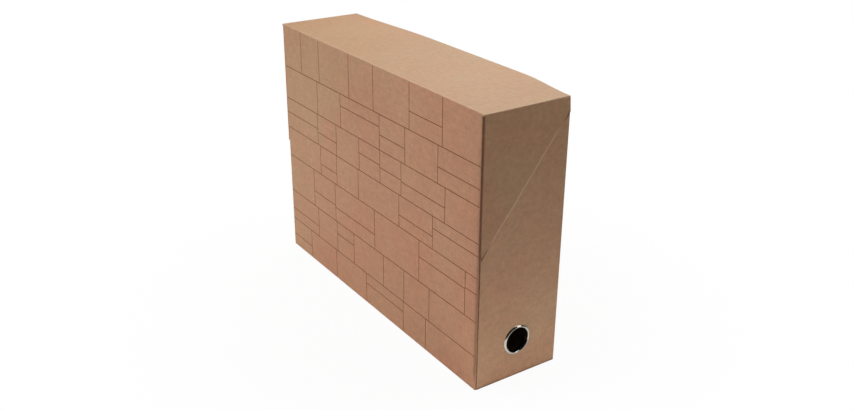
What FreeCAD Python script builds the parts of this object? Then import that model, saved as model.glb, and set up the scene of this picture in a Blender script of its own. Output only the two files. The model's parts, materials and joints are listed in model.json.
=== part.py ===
import FreeCAD, Part
import math
import os
from FreeCAD import Vector

# Archive box: a tray of wrapped board and a flip-top lid that swings about a crease on the back.
# Millimetres, +Z up. The origin is under the middle of the closed box.
# +X is the spine end with the finger ring, -Y is the large front, +Y is the back.

# Closed box, outside
length = 350.0
width = 90.0
height = 255.0

# Sheet thicknesses
board = 2.0
front_board = 0.9
flap_board = 0.6
cover = 0.25
liner = 0.2
cloth = 0.25
tape = 0.25

# Lid
lip_height = 11.5
flap_front_drop = 128.5
fold_radius = 1.2
flap_setback = 0.8
front_setback = 1.5
front_floor_gap = 0.6
lid_tape_leg = 12.0
lid_tape_rise = 2.0

# Tray
lid_gap = 0.3
front_gap = 0.45
lip_gap = 0.65
seat_gap = 0.4
crease_gap = 0.1
end_overlap = 26.0
hinge_cloth_leg = 18.0
corner_tape_leg = 12.0
corner_tape_drop = 3.0

# Finger ring in the spine
ring_height = 37.0
ring_bore = 24.0
ring_wall = 0.5
ring_face = 2.5
ring_crown = 0.8
ring_flare = 1.4
ring_clearance = 0.1
washer_diameter = 29.0
washer_thickness = 0.5

# How far cutting shapes run past what they cut
overrun = 5.0

# Lid levels along X, from the outside in
lid_x = length / 2
flap_outer_x = lid_x - cover
flap_inner_x = flap_outer_x - flap_board
flap_liner_x = flap_inner_x - liner

# Lid levels along Y
front_y = -width / 2
back_y = width / 2
front_outer_y = front_y + cover
front_inner_y = front_outer_y + front_board
front_liner_y = front_inner_y + liner
back_outer_y = back_y - cover
back_inner_y = back_outer_y - board
flap_front_y = front_y + flap_setback

# Lid levels along Z
top_outer_z = height - cover
top_inner_z = top_outer_z - board
top_liner_z = top_inner_z - liner
hinge_z = height - lip_height
lip_z = hinge_z + crease_gap / 2
flap_front_z = height - flap_front_drop

# Tray levels along X, from the outside in
end_cover_x = flap_liner_x - lid_gap
end_outer_x = end_cover_x - cover
end_inner_x = end_outer_x - board
end_liner_x = end_inner_x - liner
front_x = end_cover_x - front_setback

# Tray levels along Y
tray_cover_y = front_liner_y + front_gap
tray_outer_y = tray_cover_y + cover
tray_inner_y = tray_outer_y + board
tray_liner_y = tray_inner_y + liner
back_liner_y = back_inner_y - liner
hinge_cloth_y = back_inner_y - cloth
back_lining_y = min(back_liner_y, hinge_cloth_y)
end_step_y = back_lining_y - lip_gap

# Tray levels along Z
floor_z = cover
bottom_inner_z = floor_z + board
bottom_liner_z = bottom_inner_z + liner
crease_z = hinge_z - crease_gap / 2
end_top_z = top_liner_z - seat_gap
hinge_cloth_z = crease_z - hinge_cloth_leg

# Finger ring radii, and its levels along its own axis, counted outwards from the spine's outer face
bore_radius = ring_bore / 2
barrel_radius = bore_radius + ring_wall
hole_radius = barrel_radius + ring_clearance
spine_back = -(cover + board + liner)
washer_back = spine_back - washer_thickness


def plate(side, outline, inner_x, outer_x):
    """An upright plate from (y, z) points, at the spine end (side 1) or at the far end (side -1)."""
    points = [Vector(side * inner_x, y, z) for y, z in outline]
    return Part.Face(Part.makePolygon(points + points[:1])).extrude(Vector(side * (outer_x - inner_x), 0, 0))


def long_wall(x, y0, y1, z0, z1):
    """A block that runs from one end of the box to the other."""
    return Part.makeBox(2 * x, y1 - y0, z1 - z0, Vector(-x, y0, z0))


def flap_z(y):
    """Height of the flap's slanting lower edge."""
    return flap_front_z + (y - front_y) * (hinge_z - flap_front_z) / width


def slope_z(y):
    """Height of the tray end's slanting upper edge, which the flap overlaps."""
    return min(flap_z(y) + end_overlap, end_top_z)


def slope_y():
    """Where the tray end's slant meets its level top."""
    return front_y + (end_top_z - end_overlap - flap_front_z) * width / (hinge_z - flap_front_z)


def flap_outline(y0, y1, z1):
    return [(y0, flap_z(y0)), (y1, flap_z(y1)), (y1, z1), (y0, z1)]


def end_outline(y0, y1, z0):
    return [
        (y0, z0),
        (y1, z0),
        (y1, crease_z),
        (end_step_y, crease_z),
        (end_step_y, end_top_z),
        (slope_y(), end_top_z),
        (y0, slope_z(y0)),
    ]


def folded_block(x, y0, y1, z0, z1, radius):
    """A block with rounded edges round its top face."""
    block = long_wall(x, y0, y1, z0, z1)
    rim = [edge for edge in block.Edges if edge.BoundBox.ZMin > (z0 + z1) / 2]
    return block.makeFillet(radius, rim)


def lid_cover_sheet():
    """One folded sheet over the lip, the top, the front and both flaps."""
    outside = folded_block(lid_x, front_y, back_y, front_floor_gap, height, fold_radius)
    inside = folded_block(flap_outer_x, front_outer_y, back_outer_y, -overrun, top_outer_z, fold_radius - cover)
    sheet = outside.cut(inside)
    past_x = lid_x + overrun
    past_y = back_y + overrun
    fold_z = height - fold_radius
    below_flap = [(-past_y, -overrun), (past_y, -overrun), (past_y, flap_z(past_y)), (-past_y, flap_z(-past_y))]
    notch = [(-past_y, -overrun), (flap_front_y, -overrun), (flap_front_y, fold_z), (-past_y, fold_z)]
    for side in (1, -1):
        sheet = sheet.cut(plate(side, below_flap, flap_liner_x, past_x))
        sheet = sheet.cut(plate(side, notch, front_x, past_x))
    return sheet.cut(long_wall(past_x, back_inner_y, past_y, -overrun, lip_z))


def top_board_plate():
    return folded_block(flap_outer_x, front_outer_y, back_outer_y, top_inner_z, top_outer_z, fold_radius)


def lip_cloth_strip():
    """The lid's half of the crease lining: under the lip board and up its inner face."""
    under = long_wall(flap_inner_x, hinge_cloth_y, back_outer_y, lip_z, lip_z + cloth)
    face = long_wall(flap_inner_x, hinge_cloth_y, back_inner_y, lip_z, top_liner_z)
    return under.fuse(face).removeSplitter()


def back_cloth_strip():
    """The tray's half of the crease lining: over the back board and down its inner face."""
    over = long_wall(end_inner_x, hinge_cloth_y, back_outer_y, crease_z - cloth, crease_z)
    face = long_wall(end_inner_x, hinge_cloth_y, back_inner_y, hinge_cloth_z, crease_z)
    return over.fuse(face).removeSplitter()


def corner_tape(side, corner_x, corner_y, inward_y, leg, z0, z1):
    """An L of tape up the inside corner of an end wall and a long wall."""
    leg_y = corner_y + inward_y * leg
    thick_y = corner_y + inward_y * tape
    on_end = [(corner_y, z0), (leg_y, z0), (leg_y, z1), (corner_y, z1)]
    on_wall = [(corner_y, z0), (thick_y, z0), (thick_y, z1), (corner_y, z1)]
    end_leg = plate(side, on_end, corner_x - tape, corner_x)
    wall_leg = plate(side, on_wall, corner_x - leg, corner_x)
    return end_leg.fuse(wall_leg).removeSplitter()


def set_in_spine(shape):
    """Moves a shape made about the X axis to the finger hole."""
    shape.translate(Vector(end_cover_x, 0, ring_height))
    return shape


def finger_ring_eyelet():
    """A crowned eyelet: rolled face outside, barrel through the spine, flare behind the washer."""
    outer_radius = bore_radius + ring_face
    flare_radius = barrel_radius + ring_flare
    flare_back = washer_back - ring_wall
    inner_rim = Vector(0, 0, bore_radius)
    crown = Vector(ring_crown, 0, bore_radius + ring_face / 2)
    outer_rim = Vector(0, 0, outer_radius)
    corners = [
        outer_rim,
        Vector(0, 0, barrel_radius),
        Vector(washer_back, 0, barrel_radius),
        Vector(washer_back, 0, flare_radius),
        Vector(flare_back, 0, flare_radius),
        Vector(flare_back, 0, bore_radius),
        inner_rim,
    ]
    edges = [Part.Arc(inner_rim, crown, outer_rim).toShape()]
    edges += [Part.makeLine(a, b) for a, b in zip(corners, corners[1:])]
    face = Part.Face(Part.Wire(edges))
    return set_in_spine(face.revolve(Vector(0, 0, 0), Vector(1, 0, 0), math.degrees(math.tau)))


def ring_hole():
    start = Vector(washer_back - overrun, 0, 0)
    return set_in_spine(Part.makeCylinder(hole_radius, overrun - start.x, start, Vector(1, 0, 0)))


def ring_washer_disc():
    disc = Part.makeCylinder(washer_diameter / 2, washer_thickness, Vector(washer_back, 0, 0), Vector(1, 0, 0))
    return set_in_spine(disc).cut(ring_hole())


def lid_parts():
    parts = {
        "lid_cover": lid_cover_sheet(),
        "top_board": top_board_plate(),
        "front_board": long_wall(front_x, front_outer_y, front_inner_y, front_floor_gap, top_inner_z),
        "front_liner": long_wall(front_x, front_inner_y, front_liner_y, front_floor_gap, top_liner_z),
        "lip_board": long_wall(flap_inner_x, back_inner_y, back_outer_y, lip_z + cloth, top_inner_z),
        "top_liner": long_wall(flap_inner_x, front_inner_y, back_inner_y, top_liner_z, top_inner_z),
        "hinge_cloth_lid": lip_cloth_strip(),
    }
    tape_z = slope_z(front_liner_y + lid_tape_leg) + lid_tape_rise
    for end, side in (("spine", 1), ("end", -1)):
        board_outline = flap_outline(flap_front_y, back_outer_y, top_inner_z)
        liner_outline = flap_outline(flap_front_y, hinge_cloth_y, top_liner_z)
        parts[end + "_flap_board"] = plate(side, board_outline, flap_inner_x, flap_outer_x)
        parts[end + "_flap_liner"] = plate(side, liner_outline, flap_liner_x, flap_inner_x)
        parts[end + "_lid_tape"] = corner_tape(
            side, flap_liner_x, front_liner_y, 1, lid_tape_leg, tape_z, top_liner_z)
    return parts


def tray_parts():
    tray_top_z = slope_z(tray_outer_y)
    parts = {
        "bottom_cover": long_wall(end_cover_x, tray_cover_y, back_y, 0, floor_z),
        "bottom_board": long_wall(end_inner_x, tray_inner_y, back_inner_y, floor_z, bottom_inner_z),
        "bottom_liner": long_wall(end_liner_x, tray_liner_y, back_liner_y, bottom_inner_z, bottom_liner_z),
        "back_cover": long_wall(end_outer_x, back_outer_y, back_y, floor_z, crease_z),
        "back_board": long_wall(end_inner_x, back_inner_y, back_outer_y, floor_z, crease_z - cloth),
        "back_liner": long_wall(end_inner_x, back_liner_y, back_inner_y, bottom_inner_z, hinge_cloth_z),
        "hinge_cloth_box": back_cloth_strip(),
        "tray_front_cover": long_wall(end_outer_x, tray_cover_y, tray_outer_y, floor_z, tray_top_z),
        "tray_front_board": long_wall(end_inner_x, tray_outer_y, tray_inner_y, floor_z, tray_top_z),
        "tray_front_liner": long_wall(end_inner_x, tray_inner_y, tray_liner_y, bottom_inner_z, tray_top_z),
        "finger_ring": finger_ring_eyelet(),
        "ring_washer": ring_washer_disc(),
    }
    front_tape_z = tray_top_z - corner_tape_drop
    for end, side in (("spine", 1), ("end", -1)):
        cover_outline = end_outline(tray_cover_y, back_y, floor_z)
        board_outline = end_outline(tray_outer_y, back_outer_y, floor_z)
        liner_outline = end_outline(tray_liner_y, back_lining_y, bottom_inner_z)
        parts[end + "_cover"] = plate(side, cover_outline, end_outer_x, end_cover_x)
        parts[end + "_board"] = plate(side, board_outline, end_inner_x, end_outer_x)
        parts[end + "_liner"] = plate(side, liner_outline, end_liner_x, end_inner_x)
        parts[end + "_front_tape"] = corner_tape(
            side, end_liner_x, tray_liner_y, 1, corner_tape_leg, bottom_liner_z, front_tape_z)
        parts[end + "_back_tape"] = corner_tape(
            side, end_liner_x, back_lining_y, -1, corner_tape_leg, bottom_liner_z, hinge_cloth_z)
    for node in ("spine_cover", "spine_board", "spine_liner"):
        parts[node] = parts[node].cut(ring_hole())
    return parts


def main():
    os.makedirs("parts", exist_ok=True)
    for node, shape in {**tray_parts(), **lid_parts()}.items():
        if not shape.isValid() or len(shape.Solids) != 1:
            raise ValueError(node + " is not one valid solid")
        shape.Solids[0].exportStep("parts/" + node + ".step")
        print(node, round(shape.Volume), "mm3")


main()
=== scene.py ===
import json
import math
import random

import bmesh
import bpy
from mathutils import Matrix, Vector
from mathutils.geometry import intersect_point_line


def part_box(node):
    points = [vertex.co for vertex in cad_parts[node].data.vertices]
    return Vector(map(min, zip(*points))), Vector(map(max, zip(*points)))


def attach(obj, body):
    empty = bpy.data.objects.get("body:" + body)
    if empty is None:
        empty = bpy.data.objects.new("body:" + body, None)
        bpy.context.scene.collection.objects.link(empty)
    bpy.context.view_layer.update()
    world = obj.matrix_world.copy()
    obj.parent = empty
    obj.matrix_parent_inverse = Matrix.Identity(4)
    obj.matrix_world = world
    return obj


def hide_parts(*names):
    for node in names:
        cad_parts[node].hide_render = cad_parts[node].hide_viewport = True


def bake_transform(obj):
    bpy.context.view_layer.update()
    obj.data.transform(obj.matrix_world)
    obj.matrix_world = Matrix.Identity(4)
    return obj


# Archive box of paper-wrapped board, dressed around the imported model. Metres.
# The lid is a hood that swings about a crease on the back. The tray has a finger ring in its spine.

mm = 0.001
quarter_turn = math.pi / 2

# How close counts as at a level, as the same point, and as on a cut
near = 1 * mm
weld_distance = 0.001 * mm
cut_distance = 0.0001 * mm

# Camera
camera_place = Vector((721.15, -468.93, 490.36)) * mm
camera_target = Vector((17.45, 8.83, 106.51)) * mm
camera_roll = math.radians(0.415)
camera_lens = 39.95
sensor_width = 36.0

# Wrapped edges
fold_radius = 1.2 * mm
edge_radius_share = 0.42
cut_radius_share = 0.12
crease_radius_share = 0.08
bevel_segments = 4
sharp_angle = math.radians(40)
fold_angle = math.radians(30)
flat_angle = math.radians(0.5)
support_gaps = (1.0 * mm, 2.2 * mm, 6.0 * mm)
grid_step = 12 * mm

# Pale wear along the folds. On the lid's top folds and the flaps' slanting edges, the pale colour is also
# a painted highlight: the light that these folds catch.
wear_reach = 2.2 * mm
wear_skin = 0.3 * mm
end_fold_wear_and_highlight = 0.5
fold_wear_and_highlight = 0.2
slant_wear_and_highlight = 0.75
rim_wear = 0.4

# Shade painted on the paper: in the gap beside the front panel, along the ends of the near flap's slanting
# edge, and towards the near flap's tip
web_shades = (0.75, 1.0)
flap_edge_shade = 0.7
panel_side_shades = (0.35, 0.15)
panel_edge_shades = (0.14, 0.75)
panel_edge_reach = 5 * mm
panel_foot_reach = 20 * mm
slant_end_shade = 1.0
slant_end_reach = 14 * mm
slant_end_width = 1.5 * mm
flap_tip_shade = 0.12
shade_skin = 0.05 * mm

# Paper turned in round the lid's front corners. It closes the gap beside the front panel, and painted
# shade makes it dark there.
web_step = 0.2 * mm
web_rise = 2 * mm

# Front panel, a little wider at its foot and rounded along its sides
panel_radius_share = 0.7
foot_setbacks = {1: 0.2 * mm, -1: 1.0 * mm}
foot_drop = 0.4 * mm

# Flaps, drawn in towards the back. The near one's tip lifts and its back end hangs lower.
# The far one leans out, and its tip hangs lower.
flap_draw_share = 0.75
flap_draw_start = -20 * mm
tip_lift = 0.5 * mm
tip_reach = 18 * mm
seam_drop = 2.0 * mm
seam_reach = 30 * mm
far_lean = 0.9 * mm
far_drop = 2.2 * mm
far_reach = 30 * mm

# Bow of the lid's top along its back edge
crown_height = 3.2 * mm
crown_far_run = 150 * mm
crown_near_run = 60 * mm
crown_power = 1.5

# Back corner at the spine, drawn in: the lid's top, the flap's end, and the tray at its crease
corner_draws = {"top": 1.9 * mm, "flap": 0.9 * mm, "tray": 0.7 * mm}
corner_run = 60 * mm

# Step in the tray's ends, in front of the hinge cloth
step_gap = 0.65 * mm

# Lining paper, set in from the free edges so that the turned-in cover shows
lining_margin = 6 * mm
lining_thickness = 0.2 * mm

# Cloth along the inside of the crease
cloth_thickness = 0.25 * mm
crease_gap = 0.1 * mm

# Finger ring
bore_radius = 12.0 * mm
ring_wall = 0.5 * mm
ring_crown = 1.2 * mm
ring_crest = 0.95 * mm
ring_rim = 0.35 * mm
ring_rim_inset = 0.12 * mm
ring_flank_power = 1.4
ring_flare = 1.4 * mm
ring_segments = 96
ring_steps = 14
hole_depth = 9.8 * mm

# Printed bond of lines on the front
print_seed = 11
print_line = 0.75 * mm
print_margin = 0.3 * mm
print_proud = 0.03 * mm
course_heights = (22 * mm, 44 * mm)
block_widths = (34 * mm, 78 * mm)
split_chance = 0.45
split_shares = (0.35, 0.65)

# Colours
white = (1.0, 1.0, 1.0)
overhead_tint = (0.93, 1.0, 0.9)
kraft_brown = (0.49, 0.258, 0.139)
# Pale brown of worn folds, which also paints the highlight on them
wear_and_highlight_brown = (0.75, 0.53, 0.36)
# Painted shade in the lid's gaps and along its near flap
painted_gap_shade = (0.1, 0.036, 0.013)
lining_buff = (0.46, 0.33, 0.22)
tape_brown = (0.4, 0.25, 0.15)
cloth_brown = (0.3, 0.19, 0.12)
nickel_grey = (0.62, 0.57, 0.5)
ink_brown = (0.175, 0.062, 0.02)

# Painted light on the front: tints for how the light's colour and brightness change across it, cool at its
# upper left, pale between, warm towards its lower right
tint_way = (1, 0, -1)
tint_stops = (-0.33, -0.18, 0.08)
cool_tint = (0.945, 0.975, 1.0)
pale_tint = (1.035, 1.015, 1.05)
warm_tint = (0.99, 0.915, 0.96)

# Parts of a pattern's range that are drawn out
unit_span = (0.0, 1.0)
wide_span = (0.3, 0.7)
narrow_span = (0.35, 0.65)

# Paper. A grain is a pattern's scale, detail and roughness, and a tone is how far it lightens the colour.
cloud_grain = (7.0, 2.0, 0.55)
cloud_tones = (0.95, 1.05)
mottle_grain = (230.0, 4.0, 0.65)
mottle_tone = 0.1
fibre_grain = (1.0, 3.0, 0.6)
fibre_stretch = (110.0, 900.0, 900.0)
fibre_turn = 0.35
fibre_tone = 0.06
stray_stretch = (900.0, 120.0, 160.0)
stray_turn = -0.5
stray_tone = 0.05
speck_grain = (620.0, 2.0, 0.5)
dark_speck_span = (0.68, 0.8)
dark_speck_tone = -0.22
pale_speck_span = (0.2, 0.31)
pale_speck_tone = 0.12
hue_grain = (14.0, 3.0, 0.55)
hue_shifts = ((1.03, 0.97, 0.96), (0.97, 1.03, 1.02))
rub_grain = (90.0, 4.0, 0.7)
rub_shares = (0.5, 1.0)
paper_roughness = (0.5, 0.64)
fibre_relief = 0.6
mottle_relief = 0.5
paper_bump = 0.22
paper_bump_height = 0.15 * mm
lining_depth = 0.7
tape_depth = 0.8

# Binding cloth
thread_wave = {"Scale": 330.0, "Distortion": 0.6, "Detail": 2.0}
weave_tones = (0.7, 1.15)
dye_grain = (40.0, 4.0, 0.55)
dye_tone = 0.08
cloth_roughness = 0.85
cloth_sheen = 0.15
cloth_bump = 0.6
cloth_bump_height = 0.12 * mm

# Ink
ink_grain = (420.0, 4.0, 0.65)
ink_tones = (0.75, 1.3)
ink_roughness = (0.6, 0.8)
ink_specular = 0.15

# Nickel
scratch_grain = (1.0, 4.0, 0.7)
scratch_stretch = (300.0, 5200.0, 2400.0)
scratch_turn = 0.6
scratch_span = (0.4, 0.75)
scratch_roughness = (0.05, 0.14)
haze_grain = (380.0, 3.0, 0.55)
haze_span = (0.4, 0.7)
haze_roughness = (0.0, 0.08)
haze_tones = (0.94, 1.04)
nickel_bump = 0.05
nickel_bump_height = 0.02 * mm

# Floor. Its glow is the share that the camera sees as plain white, near the box and away from it.
floor_size = (1.5, 1.3)
floor_drop = 0.1 * mm
floor_roughness = 0.9
floor_grey = 0.86
mirrored_floor_grey = 0.5
shadow_span = (0.2, 0.36)
floor_glow = (0.95, 1.0)

# World: its light from above, and what mirrors show of it
sky_span = (-0.1, 0.5)
sky_level = 0.26
mirror_span = (-0.15, 0.25)
reflected_level = 0.21
camera_side_level = 0.015

# Lamps: place, target, size, power and tint
lamps = {
    "key": ((-0.7, -1.1, 1.1), (0, 0, 0.13), (1.1, 0.9), 19.6, white),
    "top": ((0.25, 0.5, 1.0), (0.17, 0, 0.25), (0.6, 0.6), 3.5, overhead_tint),
    "rim": ((-0.75, 0.75, 0.95), (0.1, 0, 0.25), (0.7, 0.5), 5.3, overhead_tint),
    "bounce": ((0.265, 0, 0.0005), (0.265, 0.0001, 1), (0.18, 0.4), 0.112, white),
    "window": ((1.15, 0.87, 0.5), (0.17, 0, 0.04), (0.5, 0.3), 1.24, white),
}

# Nodes that one piece or one material serves
tray_covers = ["bottom_cover", "back_cover", "spine_cover", "end_cover", "tray_front_cover"]
tray_boards = ["bottom_board", "back_board", "spine_board", "end_board", "tray_front_board"]
lid_boards = ["top_board", "front_board", "lip_board", "spine_flap_board", "end_flap_board"]
tray_tapes = ["spine_front_tape", "spine_back_tape", "end_front_tape", "end_back_tape"]
lid_tapes = ["spine_lid_tape", "end_lid_tape"]

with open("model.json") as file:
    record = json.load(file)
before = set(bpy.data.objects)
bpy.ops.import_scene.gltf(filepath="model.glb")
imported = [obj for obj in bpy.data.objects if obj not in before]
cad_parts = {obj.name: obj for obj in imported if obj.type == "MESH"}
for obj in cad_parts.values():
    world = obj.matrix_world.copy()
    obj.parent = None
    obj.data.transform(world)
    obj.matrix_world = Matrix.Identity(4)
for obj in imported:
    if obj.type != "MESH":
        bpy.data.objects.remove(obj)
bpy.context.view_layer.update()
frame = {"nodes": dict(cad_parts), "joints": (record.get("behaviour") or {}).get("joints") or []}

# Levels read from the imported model
lid_low, lid_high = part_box("lid_cover")
flap_low, flap_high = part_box("spine_flap_board")
front_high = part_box("front_board")[1]
lip_low, lip_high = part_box("lip_board")
spine_low, spine_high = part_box("spine_cover")
bottom_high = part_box("bottom_board")[1]
tray_front_low, tray_front_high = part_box("tray_front_board")
back_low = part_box("back_board")[0]
ring_low, ring_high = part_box("finger_ring")
washer_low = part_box("ring_washer")[0]
cloth_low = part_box("hinge_cloth_box")[0]
cloth_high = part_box("hinge_cloth_lid")[1]
hinge = Vector(frame["joints"][0]["pos_m"])

flap_slope = (hinge.z - flap_low.z) / (lid_high.y - flap_low.y)
top_under_z = lip_high.z
end_top_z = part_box("spine_board")[1].z
end_x = spine_high.x
end_inner_x = bottom_high.x
end_step_y = cloth_low.y - step_gap
front_x = front_high.x
cover = lid_high.x - flap_high.x
crease = Vector((0, lid_high.y - cover, hinge.z))
ring_radius = (ring_high.z - ring_low.z) / 2
barrel_radius = bore_radius + ring_wall
barrel_length = end_x - washer_low.x


def flap_z(y):
    """Slanting lower edge of the lid's flaps."""
    return flap_low.z + flap_slope * (y - flap_low.y)


def end_z(y):
    """Slanting upper edge of the tray's ends."""
    return tray_front_high.z + flap_slope * (y - tray_front_low.y)


def end_slant_y(z):
    """Where that upper edge is at a level."""
    return tray_front_low.y + (z - tray_front_high.z) / flap_slope


def panel_side(side, z):
    """Side of the front panel, which widens towards its foot."""
    foot_x = end_x - foot_setbacks[side]
    return front_x + (foot_x - front_x) * (lid_high.z - z) / (lid_high.z - lid_low.z)


def clamped(t):
    return min(max(t, 0), 1)


def smoothstep(t):
    t = clamped(t)
    return t * t * (3 - 2 * t)


def between(pair, share):
    """A value part of the way from the first of a pair to the second."""
    first, second = pair
    return first + (second - first) * share


def corners(low, high):
    """Side and level of a panel's four corners, in turn."""
    return (1, low), (1, high), (-1, high), (-1, low)


def mesh_object(name, bm):
    mesh = bpy.data.meshes.new(name)
    bm.to_mesh(mesh)
    bm.free()
    made = bpy.data.objects.new(name, mesh)
    bpy.context.scene.collection.objects.link(made)
    return made


def prism(points, along):
    """A closed solid: an outline drawn out along a vector."""
    bm = bmesh.new()
    face = bm.faces.new([bm.verts.new(p) for p in points])
    moved = bmesh.ops.extrude_face_region(bm, geom=[face])["geom"]
    bmesh.ops.translate(bm, vec=along, verts=[v for v in moved if isinstance(v, bmesh.types.BMVert)])
    bmesh.ops.recalc_face_normals(bm, faces=bm.faces)
    return mesh_object("solid", bm)


def long_wall(x, y0, y1, z0, z1):
    """A block that runs from one end of the box to the other."""
    points = [Vector((side * x, y0, z)) for side, z in corners(z0, z1)]
    return prism(points, Vector((0, y1 - y0, 0)))


def end_wall(side, outline, inner_x, outer_x):
    """A plate from (y, z) points between two faces across X."""
    points = [Vector((side * inner_x, y, z)) for y, z in outline]
    return prism(points, Vector((side * (outer_x - inner_x), 0, 0)))


def baked(thing):
    """Applies the modifiers of an object."""
    shape = thing.evaluated_get(bpy.context.evaluated_depsgraph_get())
    mesh = bpy.data.meshes.new_from_object(shape)
    thing.modifiers.clear()
    thing.data = mesh
    return thing


def combined(name, solids, operation="UNION"):
    """Joins solids to the first one, or cuts them from it."""
    first = solids[0]
    first.name = name
    for other in solids[1:]:
        step = first.modifiers.new("combine", "BOOLEAN")
        step.operation = operation
        step.solver = "EXACT"
        step.object = other
    baked(first)
    for other in solids[1:]:
        bpy.data.objects.remove(other)
    return first


def smoothed(thing):
    """Smooth shading, with the sharp edges kept."""
    thing.data.shade_smooth()
    thing.data.set_sharp_from_angle(angle=sharp_angle)
    return thing


def cut_by(bm, point, normal):
    everything = bm.verts[:] + bm.edges[:] + bm.faces[:]
    bmesh.ops.bisect_plane(bm, geom=everything, dist=cut_distance, plane_co=point, plane_no=normal)


def cut_across(bm, axis, low, high):
    """Cuts across one axis: near both ends, and evenly between."""
    normal = Vector([float(axis == i) for i in range(3)])
    count = max(1, round((high - low) / grid_step))
    places = [low + (high - low) * i / count for i in range(1, count)]
    places += [low + gap for gap in support_gaps] + [high - gap for gap in support_gaps]
    for place in places:
        cut_by(bm, normal * place, normal)


def wear_and_highlight_at(worn_and_highlight_edges, point):
    """How pale the paper is at a point, from wear and from painted highlight: most on a worn edge, less
    away from it, on its worn side only.
    """
    most = 0
    for a, b, side, strength in worn_and_highlight_edges:
        share = intersect_point_line(point, a, b)[1]
        offset = point - a.lerp(b, clamped(share))
        if offset.dot(side) > -wear_skin:
            most = max(most, strength * (1 - offset.length / wear_reach))
    return most


def rounded(thing, rounding, worn):
    """Rounds the folds of a solid as paper rounds them, and lists the folds that get pale wear, which on
    some folds is also a painted highlight.
    """
    bm = bmesh.new()
    bm.from_mesh(thing.data)
    bmesh.ops.remove_doubles(bm, verts=bm.verts, dist=weld_distance)
    bmesh.ops.dissolve_limit(bm, angle_limit=flat_angle, verts=bm.verts, edges=bm.edges)
    weights = bm.edges.layers.float.new("bevel_weight_edge")
    worn_and_highlight_edges = []
    for edge in bm.edges:
        if not edge.is_convex or edge.calc_face_angle(0) < fold_angle:
            continue
        a, b = [v.co.copy() for v in edge.verts]
        edge[weights] = rounding(a, b)
        if worn(a, b):
            worn_and_highlight_edges.append((a, b, *worn(a, b)))
    bm.to_mesh(thing.data)
    bm.free()
    bevel = thing.modifiers.new("round", "BEVEL")
    bevel.limit_method = "WEIGHT"
    bevel.width = fold_radius
    bevel.segments = bevel_segments
    bevel.use_clamp_overlap = True
    baked(thing)
    return worn_and_highlight_edges


def wrapped(thing, rounding, worn, slant, warp, shade=None):
    """Wraps a solid in paper: rounded folds, loops, edge wear that is partly a painted highlight, painted
    shade and a warp.
    """
    worn_and_highlight_edges = rounded(thing, rounding, worn)
    bm = bmesh.new()
    bm.from_mesh(thing.data)
    low, high = [Vector([f(v.co[i] for v in bm.verts) for i in range(3)]) for f in (min, max)]
    for axis in range(3):
        cut_across(bm, axis, low[axis], high[axis])
    point, normal = slant
    for gap in support_gaps:
        cut_by(bm, point + normal * gap, normal)
    # Pale wear, partly a painted highlight, and painted shade, kept on each vertex
    wear = bm.verts.layers.float.new("wear")
    dark = bm.verts.layers.float.new("dark")
    for vert in bm.verts:
        vert[wear] = wear_and_highlight_at(worn_and_highlight_edges, vert.co)
        vert[dark] = shade(vert.co) if shade else 0
        vert.co = warp(vert.co)
    bm.to_mesh(thing.data)
    bm.free()
    return smoothed(thing)


def crowned(p):
    """Lifts the lid's top along its back edge."""
    far = smoothstep((p.x + lid_high.x) / crown_far_run)
    along = far * smoothstep((lid_high.x - p.x) / crown_near_run)
    back = clamped((p.y - lid_low.y) / (lid_high.y - lid_low.y)) ** crown_power
    up = smoothstep((p.z - hinge.z) / (lid_high.z - hinge.z))
    return p + Vector((0, 0, crown_height * along * back * up))


def flap_eased(p):
    """Draws the flaps in against the tray, lifts or leans them out, and lets an end of each hang lower."""
    if abs(p.x) < flap_low.x:
        return p
    side = math.copysign(1, p.x)
    draw = flap_draw_share * smoothstep((p.y - flap_draw_start) / (lid_high.y - flap_draw_start))
    to_tip = math.hypot(p.y - flap_low.y, p.z - flap_low.z)
    if side > 0:
        to_back = math.hypot(p.y - lid_high.y, p.z - hinge.z)
        lift = tip_lift * smoothstep(1 - to_tip / tip_reach)
        drop = seam_drop * smoothstep(1 - to_back / seam_reach)
    else:
        lift = far_lean * max(lid_high.z - p.z, 0) / (lid_high.z - flap_low.z)
        drop = far_drop * smoothstep(1 - to_tip / far_reach)
    out_x = flap_low.x + (abs(p.x) - flap_low.x) * (1 - draw) + lift
    return Vector((side * out_x, p.y, p.z - drop))


def drawn_in(p, draw):
    """Moves the outer face of the back wall in, and leaves its inner face."""
    depth = clamped((p.y - back_low.y) / (lid_high.y - back_low.y))
    return p - Vector((0, draw * depth, 0))


def lid_corner_drawn(p):
    up = clamped((p.z - hinge.z) / (lid_high.z - hinge.z))
    along = smoothstep(1 - (lid_high.x - p.x) / corner_run)
    at_end = smoothstep((p.x - end_inner_x) / (lid_high.x - end_inner_x))
    return drawn_in(p, corner_draws["top"] * along * up + corner_draws["flap"] * at_end * (1 - up))


def tray_corner_drawn(p):
    at_end = smoothstep((p.x - end_inner_x) / (end_x - end_inner_x))
    return drawn_in(p, corner_draws["tray"] * at_end * p.z / hinge.z)


def lid_warped(p):
    return flap_eased(crowned(lid_corner_drawn(p)))


def flap_shade(p):
    """How much shade is painted on the near flap: at its front edge, at the ends of its slant, and towards
    its tip.
    """
    if p.y < flap_low.y + shade_skin:
        return flap_edge_shade
    if p.x < flap_low.x + shade_skin and p.y < flap_low.y + web_step + shade_skin:
        return web_shades[1]
    above = (p.z - flap_z(p.y)) / math.hypot(1, flap_slope)
    if above < slant_end_width and p.y < lid_high.y - shade_skin:
        to_end = min(p.y - flap_low.y, lid_high.y - p.y)
        return slant_end_shade * smoothstep(1 - to_end / slant_end_reach)
    return flap_tip_shade * smoothstep((lid_high.z - p.z) / (lid_high.z - flap_low.z))


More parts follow.
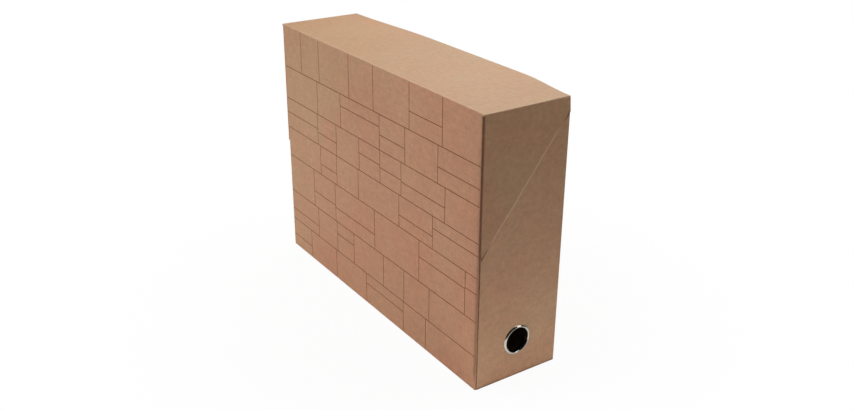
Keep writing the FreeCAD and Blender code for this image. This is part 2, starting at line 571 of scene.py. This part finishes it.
def front_shade(p):
    """How much shade is painted on the front panel at its near side, and on the paper turned in beside it.
    """
    if p.y > front_high.y + lining_thickness + shade_skin:
        return 0
    side_x = panel_side(1, p.z)
    inset = side_x - p.x
    if inset < -shade_skin:
        return between(web_shades, -inset / (flap_low.x - side_x))
    if p.y < lid_low.y + shade_skin:
        down = (lid_high.z - p.z) / (lid_high.z - lid_low.z)
        foot = smoothstep((p.z - lid_low.z) / panel_foot_reach)
        return between(panel_edge_shades, down) * foot * smoothstep(1 - inset / panel_edge_reach)
    if p.y > front_high.y + shade_skin or inset > fold_radius:
        return 0
    return panel_side_shades[0] if p.z > flap_low.z else panel_side_shades[1]


def lid_shade(p):
    """How much shade is painted on the lid's paper. Its top and its far half have none."""
    if p.z > lid_high.z - fold_radius or p.x < 0:
        return 0
    return flap_shade(p) if p.x > flap_low.x - shade_skin else front_shade(p)


def is_upright(a, b):
    return abs(a.z - b.z) > max(abs(a.x - b.x), abs(a.y - b.y)) and abs(a.y - b.y) < near


def at_crease(a, b):
    return max(abs(a.z - hinge.z), abs(b.z - hinge.z)) < near and min(a.y, b.y) > back_low.y - near


def crease_rounding(a, b):
    """A fine score where the paper folds, and none on the edge inside it."""
    return crease_radius_share if min(a.y, b.y) > lid_high.y - near else 0


def slant_plane(z_at, up):
    """A point on a slanting edge, and the normal that points above it or below it."""
    return Vector((0, 0, z_at(0))), up * Vector((0, -flap_slope, 1)).normalized()


def lid_wrap():
    """The lid's boards in their paper: top, front, lip and two flaps in one."""
    inside_z = lid_high.z - fold_radius
    foot_z = lid_low.z - foot_drop
    web_y = flap_low.y + web_step
    web_back_y = front_high.y + lining_thickness
    web_z = flap_low.z + web_rise
    front = [Vector((side * panel_side(side, z), lid_low.y, z)) for side, z in corners(foot_z, inside_z)]
    flap = [
        (flap_low.y, flap_low.z),
        (lid_high.y, flap_z(lid_high.y)),
        (lid_high.y, inside_z),
        (flap_low.y, inside_z),
    ]
    web = [(web_y, web_z), (web_back_y, web_z), (web_back_y, inside_z), (web_y, inside_z)]
    solids = [
        long_wall(lid_high.x, lid_low.y, lid_high.y, top_under_z, lid_high.z),
        prism(front, Vector((0, front_high.y - lid_low.y, 0))),
        long_wall(flap_low.x, lip_low.y, lid_high.y, hinge.z, inside_z),
    ]
    for side in (1, -1):
        solids.append(end_wall(side, flap, flap_low.x, lid_high.x))
        solids.append(end_wall(side, web, front_x - fold_radius, flap_low.x + web_step))

    def rounding(a, b):
        if min(a.z, b.z) > lid_high.z - near:
            return 1
        if at_crease(a, b):
            return crease_rounding(a, b)
        if max(a.y, b.y) > front_high.y + near:
            return edge_radius_share
        at_front = max(a.y, b.y) < lid_low.y + wear_skin
        return panel_radius_share if at_front and is_upright(a, b) else cut_radius_share

    # Pale wear on the lid's top folds and the flaps' slanting edges, which also paints the highlight these
    # folds catch
    def worn(a, b):
        at_end = min(abs(a.x), abs(b.x)) > flap_low.x
        if min(a.z, b.z) > lid_high.z - near:
            return Vector((0, 0, 1)), end_fold_wear_and_highlight if at_end else fold_wear_and_highlight
        if at_end and abs(a.y - b.y) > near and abs(a.z - b.z) > near:
            return Vector((math.copysign(1, a.x), 0, 0)), slant_wear_and_highlight
        return None

    thing = combined("lid_wrap", solids)
    return wrapped(thing, rounding, worn, slant_plane(flap_z, 1), lid_warped, lid_shade)


def tray_wrap():
    """The tray's boards in their paper: bottom, back, front and two ends in one, with the finger hole."""
    front_y = spine_low.y
    end = [
        (front_y, 0),
        (lid_high.y, 0),
        (lid_high.y, hinge.z),
        (end_step_y, hinge.z),
        (end_step_y, end_top_z),
        (end_slant_y(end_top_z), end_top_z),
        (front_y, end_z(front_y)),
    ]
    solids = [
        long_wall(end_x, front_y, lid_high.y, 0, bottom_high.z),
        long_wall(end_x, back_low.y, lid_high.y, 0, hinge.z),
        long_wall(end_x, front_y, tray_front_high.y, 0, tray_front_high.z),
    ]
    for side in (1, -1):
        solids.append(end_wall(side, end, end_inner_x, end_x))

    def rounding(a, b):
        if at_crease(a, b):
            return crease_rounding(a, b)
        at_front = is_upright(a, b) and max(a.y, b.y) < front_y + near
        return cut_radius_share if at_front or max(a.z, b.z) < near else edge_radius_share

    def worn(a, b):
        if min(a.z, b.z) > tray_front_high.z - near and not at_crease(a, b):
            return Vector((0, 0, 1)), rim_wear
        return None

    thing = combined("tray_wrap", solids)
    wrapped(thing, rounding, worn, slant_plane(end_z, -1), tray_corner_drawn)
    return smoothed(combined("tray_wrap", [thing, finger_hole()], "DIFFERENCE"))


def ring_frame():
    """The finger ring's place, on the outer face of the spine."""
    return Matrix.Translation(Vector((end_x, 0, (ring_low.z + ring_high.z) / 2)))


def finger_hole():
    """A cutter as wide as the ring's barrel."""
    bm = bmesh.new()
    bmesh.ops.create_cone(bm, cap_ends=True, segments=ring_segments, radius1=barrel_radius,
                          radius2=barrel_radius, depth=hole_depth)
    bmesh.ops.transform(bm, matrix=ring_frame() @ Matrix.Rotation(quarter_turn, 4, "Y"), verts=bm.verts)
    return mesh_object("hole", bm)


def lathe(name, profile):
    """Turns (axis, radius) points about the X axis of the finger ring."""
    bm = bmesh.new()
    place = ring_frame()
    rings = []
    for turn in range(ring_segments):
        angle = math.tau * turn / ring_segments
        points = [Vector((a, r * math.cos(angle), r * math.sin(angle))) for a, r in profile]
        rings.append([bm.verts.new(place @ p) for p in points])
    for turn in range(ring_segments):
        here, after = rings[turn], rings[(turn + 1) % ring_segments]
        for i in range(len(profile)):
            j = (i + 1) % len(profile)
            bm.faces.new((here[i], here[j], after[j], after[i]))
    bmesh.ops.recalc_face_normals(bm, faces=bm.faces)
    return mesh_object(name, bm)


def finger_ring():
    """An eyelet with a rolled face, a barrel through the spine and a flare behind the washer."""
    crest = bore_radius + ring_crest
    flank = ring_radius - ring_rim_inset - crest
    back = -barrel_length
    profile = [(0, ring_radius)]
    for step in range(ring_steps):
        left = 1 - step / ring_steps
        height = ring_crown - (ring_crown - ring_rim) * left ** ring_flank_power
        profile.append((height, crest + flank * left))
    for step in range(ring_steps + 1):
        angle = quarter_turn * step / ring_steps
        profile.append((ring_crown * math.cos(angle), crest - ring_crest * math.sin(angle)))
    profile += [
        (back - ring_wall, bore_radius),
        (back - ring_wall, barrel_radius + ring_flare),
        (back, barrel_radius + ring_flare),
        (back, barrel_radius),
        (0, barrel_radius),
    ]
    return smoothed(lathe("finger_ring_eyelet", profile))


def lining(name, points, along):
    """A thin sheet of lining paper."""
    thing = prism(points, along)
    thing.name = name
    return thing


def bowed(thing):
    """Bends a sheet under the lid's top to the bow of the top."""
    bm = bmesh.new()
    bm.from_mesh(thing.data)
    for axis in range(2):
        cut_across(bm, axis, -lid_high[axis], lid_high[axis])
    for vert in bm.verts:
        vert.co = crowned(vert.co)
    bm.to_mesh(thing.data)
    bm.free()
    return thing


def lid_linings():
    """Lining sheets of the lid, by the node that each replaces."""
    side_x = front_x - lining_margin
    foot_z = lid_low.z + lining_margin
    front = [Vector((side * side_x, front_high.y, z)) for side, z in corners(foot_z, top_under_z)]
    top = [Vector((side * flap_low.x, y, top_under_z)) for side, y in corners(front_high.y, lip_low.y)]
    sheets = {
        "front_liner": lining("front_lining", front, Vector((0, lining_thickness, 0))),
        "top_liner": bowed(lining("top_lining", top, Vector((0, 0, -lining_thickness)))),
    }
    rise = lining_margin * math.hypot(1, flap_slope)
    y0 = flap_low.y + lining_margin
    y1 = lip_low.y - cloth_thickness
    flap = [(y0, flap_z(y0) + rise), (y1, flap_z(y1) + rise), (y1, top_under_z), (y0, top_under_z)]
    for end, side in (("spine", 1), ("end", -1)):
        points = [Vector((side * flap_low.x, y, min(z, top_under_z))) for y, z in flap]
        inward = Vector((-side * lining_thickness, 0, 0))
        sheets[end + "_flap_liner"] = lining(end + "_flap_lining", points, inward)
    return sheets


def tray_linings():
    """Lining sheets of the tray, by the node that each replaces."""
    inner_y = tray_front_high.y
    top_z = tray_front_high.z - lining_margin
    floor_z = bottom_high.z
    cloth_y = back_low.y - cloth_thickness

    def wall(name, y, thick, z0, z1):
        points = [Vector((side * end_inner_x, y, z)) for side, z in corners(z0, z1)]
        return lining(name, points, Vector((0, thick, 0)))

    bottom = [Vector((side * end_inner_x, y, floor_z)) for side, y in corners(inner_y, back_low.y)]
    sheets = {
        "tray_front_liner": wall("tray_front_lining", inner_y, lining_thickness, floor_z, top_z),
        "back_liner": wall("back_lining", back_low.y, -lining_thickness, floor_z, cloth_low.z),
        "bottom_liner": lining("bottom_lining", bottom, Vector((0, 0, lining_thickness))),
    }
    drop = lining_margin * math.hypot(1, flap_slope)
    high_z = end_top_z - lining_margin
    back_y = end_step_y - lining_margin
    outline = [
        (inner_y, floor_z),
        (cloth_y, floor_z),
        (cloth_y, cloth_low.z),
        (back_y, cloth_low.z),
        (back_y, high_z),
        (end_slant_y(high_z + drop), high_z),
        (inner_y, end_z(inner_y) - drop),
    ]
    for end, side in (("spine", 1), ("end", -1)):
        points = [Vector((side * end_inner_x, y, z)) for y, z in outline]
        sheet = lining(end + "_lining", points, Vector((-side * lining_thickness, 0, 0)))
        if end == "spine":
            sheet = combined(sheet.name, [sheet, finger_hole()], "DIFFERENCE")
        sheets[end + "_liner"] = sheet
    return sheets


def hinge_cloth():
    """One strip of cloth: up the back, out to the crease, in again under the lip and up the lip."""
    face_y = back_low.y
    under_z = hinge.z - crease_gap / 2
    over_z = hinge.z + crease_gap / 2
    thick = cloth_thickness
    path = [
        (face_y, cloth_low.z),
        (face_y, under_z - thick),
        (crease.y, under_z - thick),
        (crease.y, over_z + thick),
        (face_y, over_z + thick),
        (face_y, cloth_high.z),
        (face_y - thick, cloth_high.z),
        (face_y - thick, over_z),
        (crease.y - thick, over_z),
        (crease.y - thick, under_z),
        (face_y - thick, under_z),
        (face_y - thick, cloth_low.z),
    ]
    points = [Vector((-end_inner_x, y, z)) for y, z in path]
    thing = prism(points, Vector((2 * end_inner_x, 0, 0)))
    thing.name = "hinge_cloth"
    return thing


def drawn_places(draw, start, end, steps):
    """Places from a start towards an end, at steps drawn from a range."""
    places = [start]
    while end - places[-1] > steps[1]:
        places.append(places[-1] + draw.uniform(*steps))
    return places


def print_strips():
    """Left, foot, right and head of each printed line: courses of blocks, some of them halved."""
    draw = random.Random(print_seed)
    strips = []
    half = print_line / 2
    edge_x = front_x - print_margin
    low_z = lid_low.z + fold_radius
    high_z = lid_high.z - fold_radius
    courses = drawn_places(draw, low_z, high_z, course_heights)
    for low, high in zip(courses, courses[1:] + [high_z]):
        if low > low_z:
            strips.append((-edge_x, low - half, edge_x, low + half))
        joints = drawn_places(draw, -edge_x, edge_x, block_widths)
        bottom = low + half if low > low_z else low
        top = high - half if high < high_z else high
        for left, right in zip(joints, joints[1:] + [edge_x]):
            if left > -edge_x:
                strips.append((left - half, bottom, left + half, top))
            if draw.random() < split_chance:
                level_z = low + (high - low) * draw.uniform(*split_shares)
                start = left + half if left > -edge_x else left
                end = right - half if right < edge_x else right
                strips.append((start, level_z - half, end, level_z + half))
    return strips


def print_bond():
    """Thin printed lines on the front."""
    bm = bmesh.new()
    for x0, z0, x1, z1 in print_strips():
        size = Vector((x1 - x0, 2 * print_proud, z1 - z0))
        centre = Vector(((x0 + x1) / 2, lid_low.y, (z0 + z1) / 2))
        matrix = Matrix.Translation(centre) @ Matrix.Diagonal(size).to_4x4()
        bmesh.ops.create_cube(bm, size=1, matrix=matrix)
    return mesh_object("front_print", bm)


def node(tree, kind, inputs=(), **settings):
    """Adds a shader node. An input is a value, or a socket to link."""
    made = tree.nodes.new("ShaderNode" + kind)
    for key, value in settings.items():
        setattr(made, key, value)
    for key, value in dict(inputs).items():
        if isinstance(value, bpy.types.NodeSocket):
            tree.links.new(value, made.inputs[key])
        else:
            made.inputs[key].default_value = value
    return made


def noise(tree, vector, grain):
    scale, detail, roughness = grain
    inputs = {"Vector": vector, "Scale": scale, "Detail": detail, "Roughness": roughness}
    return node(tree, "TexNoise", inputs).outputs[0]


def stretched(tree, vector, scale, turn):
    made = node(tree, "Mapping", {"Vector": vector, "Scale": scale, "Rotation": (turn, turn, turn)})
    return made.outputs[0]


def ranged(tree, value, span, results):
    """Draws out a span of values to a span of results."""
    inputs = {"Value": value}
    inputs["From Min"], inputs["From Max"] = span
    inputs["To Min"], inputs["To Max"] = results
    return node(tree, "MapRange", inputs).outputs[0]


def times(tree, a, b):
    return node(tree, "Math", {0: a, 1: b}, operation="MULTIPLY").outputs[0]


def plus(tree, a, b):
    return node(tree, "Math", {0: a, 1: b}, operation="ADD").outputs[0]


def opaque(colour):
    return (*colour, 1)


def mixed(tree, share, a, b):
    """Blends two colours, by the numbers of a Mix node's colour sockets."""
    return node(tree, "Mix", {0: share, 6: a, 7: b}, data_type="RGBA").outputs[2]


def scaled(tree, colour, amount):
    """Multiplies a colour by a colour or a number, in the same sockets."""
    inputs = {0: 1.0, 6: colour, 7: amount}
    return node(tree, "Mix", inputs, data_type="RGBA", blend_type="MULTIPLY").outputs[2]


def new_material(name):
    material = bpy.data.materials.new(name)
    material.use_nodes = True
    tree = material.node_tree
    return material, tree, tree.nodes["Principled BSDF"], node(tree, "TexCoord").outputs["Object"]


def add_bump(tree, shader, relief, strength, height):
    bump = node(tree, "Bump", {"Strength": strength, "Distance": height, "Height": relief})
    tree.links.new(bump.outputs[0], shader.inputs["Normal"])


def painted_front_light(tree, place):
    """Painted light: three tones across the face of the front panel, and white on the other sides."""
    along = node(tree, "VectorMath", {0: place, 1: tint_way}, operation="DOT_PRODUCT").outputs["Value"]
    to_pale = ranged(tree, along, tint_stops[:2], unit_span)
    to_warm = ranged(tree, along, tint_stops[1:], unit_span)
    tint = mixed(tree, to_pale, opaque(cool_tint), opaque(pale_tint))
    tint = mixed(tree, to_warm, tint, opaque(warm_tint))
    level_y = node(tree, "SeparateXYZ", {0: place}).outputs[1]
    face_span = (lid_low.y + shade_skin, lid_low.y + fold_radius)
    on_front = ranged(tree, level_y, face_span, unit_span[::-1])
    return mixed(tree, on_front, opaque(white), tint)


def kraft_wear_and_painted_light(tree, place, body):
    """The front's tints of painted light, pale wear on the folds that is partly a painted highlight, and
    painted shade in the gaps.
    """
    # Painted light: the front's tints
    body = scaled(tree, body, painted_front_light(tree, place))
    wear = node(tree, "Attribute", attribute_name="wear").outputs["Fac"]
    # Pale wear on the folds, partly a painted highlight
    wear_and_highlight_share = times(tree, wear, ranged(tree, noise(tree, place, rub_grain), wide_span, rub_shares))
    body = mixed(tree, wear_and_highlight_share, body, opaque(wear_and_highlight_brown))
    # Painted shade in the lid's gaps and along its near flap
    shade = node(tree, "Attribute", attribute_name="dark").outputs["Fac"]
    return mixed(tree, shade, body, opaque(painted_gap_shade))


def paper_material(name, colour, depth=1.0, wear_and_painted_light=None):
    """Uncoated paper: clouds, mottling, fibres in two directions and specks, then any wear and painted
    light laid over it.
    """
    material, tree, shader, place = new_material(name)
    mottle = noise(tree, place, mottle_grain)
    fibres = noise(tree, stretched(tree, place, fibre_stretch, fibre_turn), fibre_grain)
    strays = noise(tree, stretched(tree, place, stray_stretch, stray_turn), fibre_grain)
    specks = noise(tree, place, speck_grain)
    tone = ranged(tree, noise(tree, place, cloud_grain), wide_span, cloud_tones)
    for pattern, span, low, high in (
        (mottle, wide_span, -mottle_tone, mottle_tone),
        (fibres, narrow_span, -fibre_tone, fibre_tone),
        (strays, narrow_span, -stray_tone, stray_tone),
        (specks, dark_speck_span, 0, dark_speck_tone),
        (specks, pale_speck_span, pale_speck_tone, 0),
    ):
        tone = plus(tree, tone, ranged(tree, pattern, span, (low * depth, high * depth)))
    hue = ranged(tree, noise(tree, place, hue_grain), narrow_span, unit_span)
    hues = [opaque([c * s for c, s in zip(colour, shift)]) for shift in hue_shifts]
    body = scaled(tree, mixed(tree, hue, *hues), tone)
    if wear_and_painted_light:
        body = wear_and_painted_light(tree, place, body)
    tree.links.new(body, shader.inputs["Base Color"])
    tree.links.new(ranged(tree, mottle, wide_span, paper_roughness), shader.inputs["Roughness"])
    relief = plus(tree, times(tree, fibres, fibre_relief), times(tree, mottle, mottle_relief))
    add_bump(tree, shader, relief, paper_bump * depth, paper_bump_height)
    return material


def threads(tree, place, direction):
    inputs = {"Vector": place, **thread_wave}
    return node(tree, "TexWave", inputs, bands_direction=direction).outputs[1]


def cloth_material(name, colour):
    """Plain weave binding cloth."""
    material, tree, shader, place = new_material(name)
    weave = times(tree, threads(tree, place, "X"), threads(tree, place, "Z"))
    dye = ranged(tree, noise(tree, place, dye_grain), wide_span, (-dye_tone, dye_tone))
    tone = plus(tree, ranged(tree, weave, unit_span, weave_tones), dye)
    tree.links.new(scaled(tree, opaque(colour), tone), shader.inputs["Base Color"])
    add_bump(tree, shader, weave, cloth_bump, cloth_bump_height)
    shader.inputs["Roughness"].default_value = cloth_roughness
    shader.inputs["Sheen Weight"].default_value = cloth_sheen
    return material


def ink_material(name, colour):
    """Brown printing ink that lets the paper's grain through."""
    material, tree, shader, place = new_material(name)
    grain = noise(tree, place, ink_grain)
    tone = ranged(tree, grain, wide_span, ink_tones)
    tree.links.new(scaled(tree, opaque(colour), tone), shader.inputs["Base Color"])
    tree.links.new(ranged(tree, grain, wide_span, ink_roughness), shader.inputs["Roughness"])
    shader.inputs["Specular IOR Level"].default_value = ink_specular
    return material


def nickel_material(name, colour):
    """Bright nickel plate with fine scratches and handling haze."""
    material, tree, shader, place = new_material(name)
    scratches = noise(tree, stretched(tree, place, scratch_stretch, scratch_turn), scratch_grain)
    haze = noise(tree, place, haze_grain)
    scratched = ranged(tree, scratches, scratch_span, scratch_roughness)
    rough = plus(tree, scratched, ranged(tree, haze, haze_span, haze_roughness))
    tree.links.new(rough, shader.inputs["Roughness"])
    tone = ranged(tree, haze, wide_span, haze_tones)
    tree.links.new(scaled(tree, opaque(colour), tone), shader.inputs["Base Color"])
    add_bump(tree, shader, scratches, nickel_bump, nickel_bump_height)
    shader.inputs["Metallic"].default_value = 1.0
    return material


def floor_material():
    """White floor. The camera sees it as white with a faint shadow that fades out towards its rim."""
    material, tree, shader, place = new_material("floor")
    shader.inputs["Roughness"].default_value = floor_roughness
    path = node(tree, "LightPath")
    greys = [opaque([level] * 3) for level in (floor_grey, mirrored_floor_grey)]
    tree.links.new(mixed(tree, path.outputs["Is Glossy Ray"], *greys), shader.inputs["Base Color"])
    reach = node(tree, "VectorMath", {0: place}, operation="LENGTH").outputs["Value"]
    pale = times(tree, path.outputs["Is Camera Ray"], ranged(tree, reach, shadow_span, floor_glow))
    glow = node(tree, "Emission", {"Color": opaque(white), "Strength": 1.0}).outputs[0]
    shown = node(tree, "MixShader", {0: pale, 1: shader.outputs[0], 2: glow}).outputs[0]
    tree.links.new(shown, tree.nodes["Material Output"].inputs["Surface"])
    return material


def add_floor():
    bm = bmesh.new()
    bmesh.ops.create_grid(bm, x_segments=1, y_segments=1, size=0.5)
    bmesh.ops.scale(bm, vec=(*floor_size, 1), verts=bm.verts)
    bmesh.ops.translate(bm, vec=(0, 0, -floor_drop), verts=bm.verts)
    floor = mesh_object("floor", bm)
    floor.data.materials.append(floor_material())


def add_world():
    """White to the camera. It lights from above, and in mirrors it is dim on the camera's side."""
    world = bpy.data.worlds.new("studio")
    bpy.context.scene.world = world
    world.use_nodes = True
    tree = world.node_tree
    direction = node(tree, "TexCoord").outputs["Generated"]
    up = node(tree, "SeparateXYZ", {0: direction}).outputs[2]
    away = tuple((camera_target - camera_place).normalized())
    facing = node(tree, "VectorMath", {0: direction, 1: away}, operation="DOT_PRODUCT").outputs["Value"]
    radiance = ranged(tree, up, sky_span, (0.0, sky_level))
    lights = node(tree, "LightPath")
    mirror = {0: lights.outputs["Is Glossy Ray"], 1: lights.outputs["Is Transmission Ray"]}
    gloss = node(tree, "Math", mirror, operation="MAXIMUM").outputs[0]
    reflected = ranged(tree, facing, mirror_span, (camera_side_level, reflected_level))
    lit = node(tree, "Mix", {0: gloss, 2: radiance, 3: reflected}).outputs[0]
    strength = node(tree, "Mix", {0: lights.outputs["Is Camera Ray"], 2: lit, 3: 1.0}).outputs[0]
    background = tree.nodes["Background"]
    background.inputs["Color"].default_value = opaque(white)
    tree.links.new(strength, background.inputs["Strength"])


def add_lamp(name, place, target, size, power, tint):
    data = bpy.data.lights.new(name, "AREA")
    data.shape = "RECTANGLE"
    data.size, data.size_y = size
    data.energy = power
    data.color = tint
    lamp = bpy.data.objects.new(name, data)
    lamp.location = place
    lamp.rotation_euler = (Vector(place) - Vector(target)).to_track_quat("Z", "Y").to_euler()
    lamp.visible_camera = False
    bpy.context.scene.collection.objects.link(lamp)


def add_camera():
    data = bpy.data.cameras.new("camera")
    data.lens = camera_lens
    data.sensor_width = sensor_width
    data.sensor_fit = "HORIZONTAL"
    camera = bpy.data.objects.new("camera", data)
    aim = (camera_place - camera_target).to_track_quat("Z", "Y").to_matrix()
    camera.rotation_euler = (aim @ Matrix.Rotation(camera_roll, 3, "Z")).to_euler()
    camera.location = camera_place
    bpy.context.scene.collection.objects.link(camera)
    bpy.context.scene.camera = camera


def paint(thing, material):
    thing.data.materials.clear()
    thing.data.materials.append(material)


def dress(piece, material, nodes, body=None):
    """Paints a piece, and says what it rides on, what it replaces and what it is made of."""
    paint(piece, material)
    if body:
        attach(piece, body)
    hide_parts(*nodes)


kraft = paper_material("kraft", kraft_brown, wear_and_painted_light=kraft_wear_and_painted_light)
lining_paper = paper_material("lining", lining_buff, lining_depth)
tape_paper = paper_material("tape", tape_brown, tape_depth)
cloth = cloth_material("hinge_cloth", cloth_brown)
nickel = nickel_material("nickel", nickel_grey)
ink = ink_material("ink", ink_brown)

# Paper, ring and print
dress(lid_wrap(), kraft, ["lid_cover"] + lid_boards, "lid")
dress(tray_wrap(), kraft, tray_covers + tray_boards, "box")
for replaced, sheet in lid_linings().items():
    dress(sheet, lining_paper, [replaced], "lid")
for replaced, sheet in tray_linings().items():
    dress(sheet, lining_paper, [replaced], "box")
dress(finger_ring(), nickel, ["finger_ring"], "box")

# Cloth at the crease, between the two bodies and on neither of them
strip = hinge_cloth()
dress(strip, cloth, ["hinge_cloth_box", "hinge_cloth_lid"])
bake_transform(strip)
dress(print_bond(), ink, [], "lid")

# Nodes shown as they are
for name in tray_tapes + lid_tapes:
    paint(frame["nodes"][name], tape_paper)
paint(frame["nodes"]["ring_washer"], nickel)

add_floor()
add_world()
for name, settings in lamps.items():
    add_lamp(name, *settings)
add_camera()
bpy.context.scene.view_settings.view_transform = "Standard"
